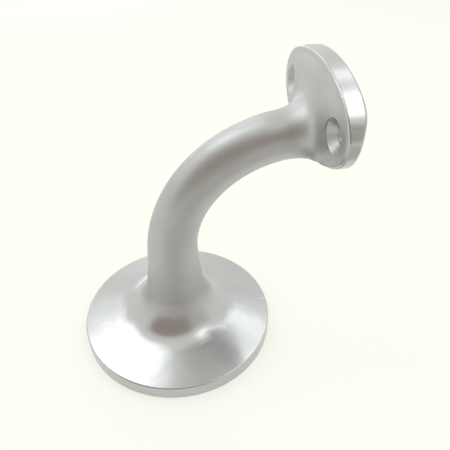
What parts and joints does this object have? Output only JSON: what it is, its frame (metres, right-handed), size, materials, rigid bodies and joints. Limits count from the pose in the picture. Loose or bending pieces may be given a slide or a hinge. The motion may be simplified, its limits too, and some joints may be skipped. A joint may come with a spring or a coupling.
{
  "type": "handrail bracket",
  "caption": "One-piece cast bracket: a round wall rose with a tapered, right-angled arm and an oval saddle that screws to the underside of a round rail.",
  "frame": {"origin": "centre of the rose's flat back face, at the mouth of the tapped wall hole", "axes": "+Z leads straight out from the wall, +X is the way the arm bends (up on the wall, towards the rail's underside), Y runs along the rail"},
  "size_m": [0.0779, 0.063, 0.0919],
  "materials": {
    "satin_metal": "satin"
  },
  "bodies": {
    "root": {"bracket_body": "satin_metal"}
  },
  "joints": []
}
